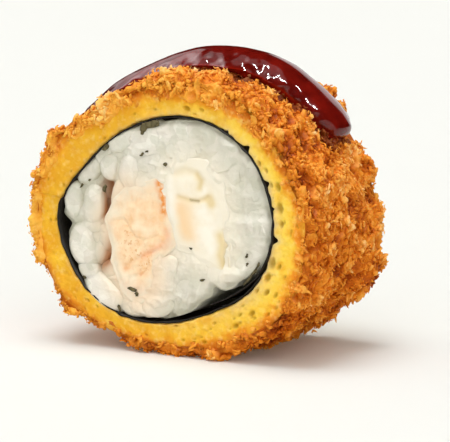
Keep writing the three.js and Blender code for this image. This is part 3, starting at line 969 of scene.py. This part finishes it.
# ---- Fillings ---------------------------------------------------------------------------
# A strip of pale cooked salmon and a strip of cream cheese lie side by side along the roll.
# The knife leaves the salmon's fibres and the soft folds of the cheese on both faces.

FILLING_SPREAD = 0.12  # how much wider each filling is than the dip in the rice that holds it
CHEESE_ARCH = ((2.2, 7.9), (4.4, 8.7), (6.2, 8.2), (7.2, 6.9), (6.8, 5.7))
CHEESE_CREASE = ((2.9, 3.9), (5.3, 3.4), (6.8, 3.4), (8.5, 4.0))


def filling(outline, relief, marks):
    """Loops that follow a filling's outline, shrunk towards its middle over each face. relief
    gives how far each face lies back from the cut, in millimetres, and marks its fields."""
    edge = outline_points(outline, 240)
    middle = edge.mean(0)
    flat = np.column_stack([edge[:, 0], np.zeros(len(edge)), edge[:, 1]])
    ragged = 0.06 * noise(flat, 2.2, 21) + 0.03 * noise(flat, 0.9, 22)
    edge = edge + (edge - middle) * (FILLING_SPREAD + ragged)[:, None]
    share = np.linspace(0.03, 1, 40)[:, None, None]
    across = (middle + (edge - middle) * share) * MM
    loops = []
    for side in (-1, 1):
        face = np.full(across.shape[:2], side * HALF)
        place = AXIS + np.stack([across[..., 0], face, across[..., 1]], -1)
        rounding = 0.3 * step_up(share[..., 0], 0.8, 1.0)
        place[..., 1] -= side * (relief(place) + rounding) * MM
        loops.append(place)
    poles = np.stack([loop[0].mean(0) for loop in loops])
    points, faces = loop_solid(np.concatenate([loops[0], loops[1][::-1]]), poles)
    rim = np.concatenate([share, share[::-1]]) * np.ones((1, len(edge), 1))
    return points, faces, {"rim": np.append(rim, [0, 0]), **marks(points)}


def salmon_relief(place):
    """Fibres as noise that is stretched two ways, lower along the left border and in thin cracks."""
    grain = 0.13 * noise(place * [1, 1, 2.2], 2.2 * MM, 17)
    grain = grain + 0.07 * noise(place * [1.8, 1, 1], 0.9 * MM, 18)
    border = beside(place, [(-12, -1), (-11.8, -4), (-11.4, -8), (-9.6, -12)], 0.7)
    cracks = strokes(
        place,
        (1, 0.3, (-10.8, -1.4), (-8.6, -0.9), (-6.4, -3.9), (-4.6, -4.4), (-1.6, -3.4)),
        (1, 0.3, (-8.6, -9.4), (-5.2, -7.6), (-1.0, -5.5)),
        (1, 0.3, (-7.6, -11.4), (-4.8, -10.6), (-3.6, -8.8)),
    )
    return 0.2 + grain + 0.3 * border + 0.22 * cracks


def salmon_marks(place):
    """Where the flesh was seared orange, where it is pink, creamy or speckled, and where the tail
    fades into the rice."""
    seared = strokes(
        place,
        (1, 0.75, (-1.3, 6.0), (-0.6, 4.4), (-0.3, 2.6), (-0.3, 0.9)),
        (0.5, 0.5, (-8.3, -9.8), (-7.7, -9.4)),
        (0.5, 0.4, (-5.1, -10.6), (-4.9, -10.4)),
    )
    creamy = strokes(
        place,
        (0.8, 0.8, (-11.4, -0.2), (-8.6, 0.5)),
        (0.6, 0.9, (-5.6, -1.8), (-3.6, -2.9)),
        (1, 0.9, (-11.2, -4.5), (-11, -8), (-10, -10.8), (-6.6, -11.4)),
    )
    return {
        "seared": np.minimum(seared, 1),
        "pink": beside(place, [(0.4, -2.4), (0.8, -4.6), (-1.1, -5.2), (-4.5, -7.2)], 0.7),
        "creamy": np.minimum(creamy, 1),
        "speckled": beside(place, [(-8, -4.4), (-6, -7.2), (-4, -8)], 2.2),
        "tail": beside(place, [(-8, -13.4), (-4.6, -13.8)], 2.0),
    }


salmon_solid = filling(SALMON_OUTLINE, salmon_relief, salmon_marks)
salmon = add_piece("salmon_strip", "salmon", "salmon_flesh", *salmon_solid)
flesh = Finish(
    "salmon_flesh",
    Roughness=0.45,
    Subsurface_Weight=0.3,
    Subsurface_Scale=0.0004,
    Subsurface_Radius=(1.0, 0.8, 0.7),
    Specular_IOR_Level=0.4,
)
blurred = flesh.clip(flesh.field("rim") + 0.35 * (flesh.noise(1.5, 3) - 0.5), 0.62, 0.98)
peach = flesh.layers(
    flesh.ramp(flesh.noise(1.8, 4), (0.3, "f3c896"), (0.5, "f7d6ae"), (0.7, "fae2c0")),
    (flesh.field("speckled") * flesh.patches(0.5, 3, 0.54, 0.68) * 0.8, "dc9c5c"),
    (flesh.field("pink") * 0.45, "ee9a6c"),
    (flesh.field("tail") * 0.8, "eecfb2"),
    (flesh.field("creamy") * 0.75, "faecd2"),
    (blurred * 0.8, "ebe0cc"),
    (flesh.field("seared") * flesh.patches(0.9, 3, 0.3, 0.55), "e8923a"),
)
flesh.wear(salmon, Base_Color=peach, Normal=flesh.relief(flesh.noise(0.5, 3), 0.2, 0.4))


def cheese_relief(place):
    """Soft folds as noise, a raised mound, and grooves round it, along the crease and the slit."""
    folds = 0.22 * noise(place, 4 * MM, 19) + 0.06 * noise(place, 1.2 * MM, 20)
    mound = strokes(place, (-0.3, 1.6, (3.6, 6.0), (5.4, 6.0)), (-0.2, 0.7, (0.9, 6.4), (1.2, 0)))
    arch = 0.26 * beside(place, CHEESE_ARCH, 0.8)
    crease = 0.35 * beside(place, CHEESE_CREASE, 0.45)
    slit = 0.8 * beside(place, [(11.9, -1.8), (12.4, -4.2), (12.0, -6.1), (12.0, -7.8)], 0.4)
    return 0.2 + folds + mound + arch + crease + slit


def cheese_marks(place):
    """Where it is whitest and where salmon oil has stained it; painted shade in the grooves, beige,
    and darker olive at the bottoms of two of them; and where it can't be told from the rice."""
    grooves = strokes(
        place,
        (0.4, 0.8, *CHEESE_ARCH),
        (0.6, 0.5, (6.4, 8.0), (7.2, 6.9), (6.9, 5.6)),
        (0.7, 0.5, *CHEESE_CREASE),
        (1.2, 0.9, (9.0, 3.9), (9.4, 3.1)),
        (1, 0.9, (11.0, -2.5), (11.5, -4.0), (11.1, -5.9), (11.6, -7.6)),
    )
    bottoms = strokes(
        place,
        (0.7, 0.22, (5.1, 3.45), (6.7, 3.35)),
        (0.9, 0.3, (12.5, -4.4), (12.1, -6.1), (12.1, -7.6)),
    )
    return {
        "whitest": beside(place, [(0.9, 7.2), (1.1, 3.4), (1.4, -0.4)], 0.8),
        "stained": beside(place, [(3.3, 1.8), (3.9, -0.4), (4.3, -2.8)], 2.1),
        "grooves": np.minimum(grooves, 1),
        "bottoms": np.minimum(bottoms, 1),
    }


cheese_solid = filling(CHEESE_OUTLINE, cheese_relief, cheese_marks)
cheese = add_piece("cheese_strip", "cream_cheese", "soft_cheese", *cheese_solid)
cream = Finish(
    "cream_cheese",
    Roughness=0.35,
    Subsurface_Weight=0.3,
    Subsurface_Scale=0.0004,
    Subsurface_Radius=(1.0, 0.95, 0.8),
    Specular_IOR_Level=0.35,
)
faded = cream.clip(cream.field("rim") + 0.4 * (cream.noise(2.0, 3) - 0.5), 0.5, 0.85)
ivory = cream.layers(
    cream.ramp(cream.noise(3.0, 3), (0.3, "f3e8d2"), (0.6, "f9f2e4")),
    (cream.field("stained") * 0.9, "f5d3a4"),
    (cream.field("whitest") * 0.9, "fdf8f0"),
    (faded * 0.85, "f0e8d6"),
    # painted shade: the grooves are painted beige, and the bottoms of two of them dark olive
    (cream.field("grooves") * 0.75, "e2ca8e"),
    (cream.field("bottoms") * 0.9, "8c7440"),
)
cream.wear(cheese, Base_Color=ivory, Normal=cream.relief(cream.noise(1.0, 3), 0.15, 0.3))

# ---- Sauce ------------------------------------------------------------------------------
# A thick sweet sauce was run over the top from a bottle. It has sunk between the crumbs, and
# its end hangs on the right as a fat drop. It is dark red-brown and glossy.

SAUCE_END = 0.12  # share of its length in which each end is rounded


def station(column, share):
    """Value between the stations, on a smooth curve through them."""
    values = SAUCE_STATIONS[:, column]
    place = share * (len(values) - 1)
    first = np.minimum(np.floor(place).astype(int), len(values) - 2)
    near = (values[np.clip(first + step, 0, len(values) - 1)] for step in (-1, 0, 1, 2))
    return cubic(*near, place - first)


def sauce_ribbon():
    """Oval section carried round the top of the roll, rounded at both ends by a quarter of an
    ellipse. Its edges waver, and its top dips a little between the crumbs."""
    share = np.linspace(0, 1, 282)[1:-1]
    turn = np.linspace(0, 2 * np.pi, 120, endpoint=False)
    angle = station(0, share)[:, None]
    end = np.clip(np.minimum(share, 1 - share) / SAUCE_END, 0, 1)
    rounding = np.sqrt(1 - (1 - end) ** 2)[:, None]
    half = station(2, share)[:, None] * rounding * MM / 2
    height = station(3, share)[:, None] * rounding * MM
    level = closed_curve(CRUST_RADII, angle) + station(4, share)[:, None] * MM
    y = station(1, share)[:, None] * MM - half * np.cos(turn)
    flat = polar(level, angle, y)
    waver = 0.9 * noise(flat, 2.8 * MM, 24) + 0.5 * noise(flat, 1.3 * MM, 28)
    y = y + waver * MM * rounding * np.cos(turn) ** 2
    fullness = 2.1 - 1.5 * step_up(share, 0.6, 0.92)[:, None]
    rise = height * np.sign(np.sin(turn)) * np.abs(np.sin(turn)) ** fullness
    place = polar(level + rise, angle, y)
    dimple = 0.09 * noise(place, 3.6 * MM, 25)
    loops = polar(level + rise + dimple * MM * rounding, angle, y)
    poles = np.stack([polar(level[n, 0], angle[n, 0], SAUCE_STATIONS[n, 1] * MM) for n in (0, -1)])
    thin = np.exp(-np.maximum(rise, 0) / (0.3 * MM))
    return *loop_solid(loops, poles), {"thin": np.append(thin, [1, 1])}


sauce = add_piece("sauce_ribbon", "sauce", "dark_sauce", *sauce_ribbon())
glaze = Finish("dark_sauce", Roughness=0.11, Specular_IOR_Level=0.42)
plum = glaze.ramp(glaze.noise(3.0, 2), (0.3, "560a06"), (0.7, "72120a"))
plum = glaze.mix(glaze.clip(glaze.field("thin"), 0.35, 0.9) * 0.7, plum, "941804")
glaze.wear(sauce, Base_Color=plum)

# ---- Table, light and camera ------------------------------------------------------------
# The slice stands on a plain white table under wide, soft daylight. The soft boxes and the small
# round lamps only show as reflections, most of all in the glossy sauce.

VIEW_AZIMUTH, VIEW_ELEVATION, VIEW_DISTANCE = 29, 8.5, 0.42
VIEW_LENS = 185.5
VIEW_RIGHT, VIEW_UP = 3.62, -2.45  # mm from the roll's axis to what the camera looks at
TABLE_REACH = 3.0

scene = bpy.context.scene
scene.view_settings.view_transform = "Standard"
table = bpy.data.objects.new("table", bpy.data.meshes.new("table"))
corners = [(-1, -1), (1, -1), (1, 1), (-1, 1)]
corners = [(x * TABLE_REACH, y * TABLE_REACH, 0) for x, y in corners]
table.data.from_pydata(corners, [], [(0, 1, 2, 3)])
scene.collection.objects.link(table)
cloth = Finish("white_table", Base_Color=colour("e3e3e0"), Roughness=0.7, Specular_IOR_Level=0.1)
cloth.wear(table)

world = bpy.data.worlds.new("studio")
world.use_nodes = True
nodes, links = world.node_tree.nodes, world.node_tree.links


def sky_ramp(socket, *stops):
    """Warm greys by a number, for the brightness of the studio in each direction."""
    ramp = nodes.new("ShaderNodeValToRGB")
    while len(ramp.color_ramp.elements) < len(stops):
        ramp.color_ramp.elements.new(1.0)
    for stop, (position, strength) in zip(ramp.color_ramp.elements, stops):
        stop.position, stop.color = position, (strength, strength * 0.95, strength * 0.82, 1)
    links.new(socket, ramp.inputs["Fac"])
    return ramp.outputs["Color"]


direction = nodes.new("ShaderNodeTexCoord").outputs["Generated"]
split = nodes.new("ShaderNodeSeparateXYZ")
links.new(direction, split.inputs[0])
sky = sky_ramp(split.outputs["Z"], (0.0, 0.85), (0.17, 0.65), (0.3, 0.33), (1.0, 0.35))
links.new(sky, nodes["Background"].inputs["Color"])
nodes["Background"].inputs["Strength"].default_value = 1.0
world.cycles_visibility.glossy = False
scene.world = world


def face_from(item, target, azimuth, elevation, distance):
    """Puts a lamp or camera in the scene on a sphere round the target, looking at the target."""
    azimuth, elevation = np.radians([azimuth, elevation])
    flat = np.cos(elevation)
    away = np.array([np.sin(azimuth) * flat, -np.cos(azimuth) * flat, np.sin(elevation)])
    item.location = Vector(target + away * distance)
    item.rotation_euler = Vector(away).to_track_quat("Z", "Y").to_euler()
    scene.collection.objects.link(item)


def lamp(name, kind, azimuth, elevation, distance, seen_in="diffuse", **settings):
    """A lamp that faces the roll. It either lights things or shows in glossy ones."""
    light = bpy.data.lights.new(name, kind)
    for setting, value in settings.items():
        setattr(light, setting, value)
    item = bpy.data.objects.new(name, light)
    item.visible_camera = False
    item.visible_diffuse, item.visible_glossy = seen_in == "diffuse", seen_in == "gloss"
    face_from(item, AXIS, azimuth, elevation, distance)


daylight = (0.93, 0.965, 1.0)
lamp("key_light", "SUN", -60, 83, 1.0, energy=2.0, angle=np.radians(36), color=daylight)
lamp("front_fill", "SUN", 32, 36, 1.0, energy=0.95, angle=np.radians(60), color=daylight)
lamp("left_fill", "SUN", -64, 30, 1.0, energy=0.2, angle=np.radians(50), color=daylight)
lamp("wide_fill", "SUN", -15, 58, 1.0, energy=0.3, angle=np.radians(100), color=daylight)
lamp("even_fill", "SUN", 20, 64, 1.0, energy=0.28, use_shadow=False, color=(1.0, 0.82, 0.58))
for width in np.radians([28, 40, 52]):  # one soft reflection, from discs of one brightness
    lamp("soft_box", "SUN", -96, 48, 1.0, "gloss", energy=3.4 * np.sin(width / 2) ** 2, angle=width)
lamp("top_box", "SUN", -20, 76, 1.0, "gloss", energy=0.6, angle=np.radians(60))
lamp("low_box", "SUN", -118, 30, 1.0, "gloss", energy=0.4, angle=np.radians(44))
lamp("rim_box", "SUN", 184, 14, 1.0, "gloss", energy=0.36, angle=np.radians(34))
for azimuth, elevation in ((33, 73), (39, 57), (49, 45)):
    lamp("round_lamp", "AREA", azimuth, elevation, 0.5, "gloss", shape="DISK", size=0.06, energy=1.7)

camera = bpy.data.objects.new("camera", bpy.data.cameras.new("camera"))
camera.data.lens, camera.data.sensor_width, camera.data.clip_start = VIEW_LENS, 36.0, 0.01
azimuth, elevation = np.radians([VIEW_AZIMUTH, VIEW_ELEVATION])
right = np.array([np.cos(azimuth), np.sin(azimuth), 0.0])
up = np.array([
    -np.sin(azimuth) * np.sin(elevation),
    np.cos(azimuth) * np.sin(elevation),
    np.cos(elevation),
])
target = AXIS + (VIEW_RIGHT * right + VIEW_UP * up) * MM
face_from(camera, target, VIEW_AZIMUTH, VIEW_ELEVATION, VIEW_DISTANCE)
scene.camera = camera
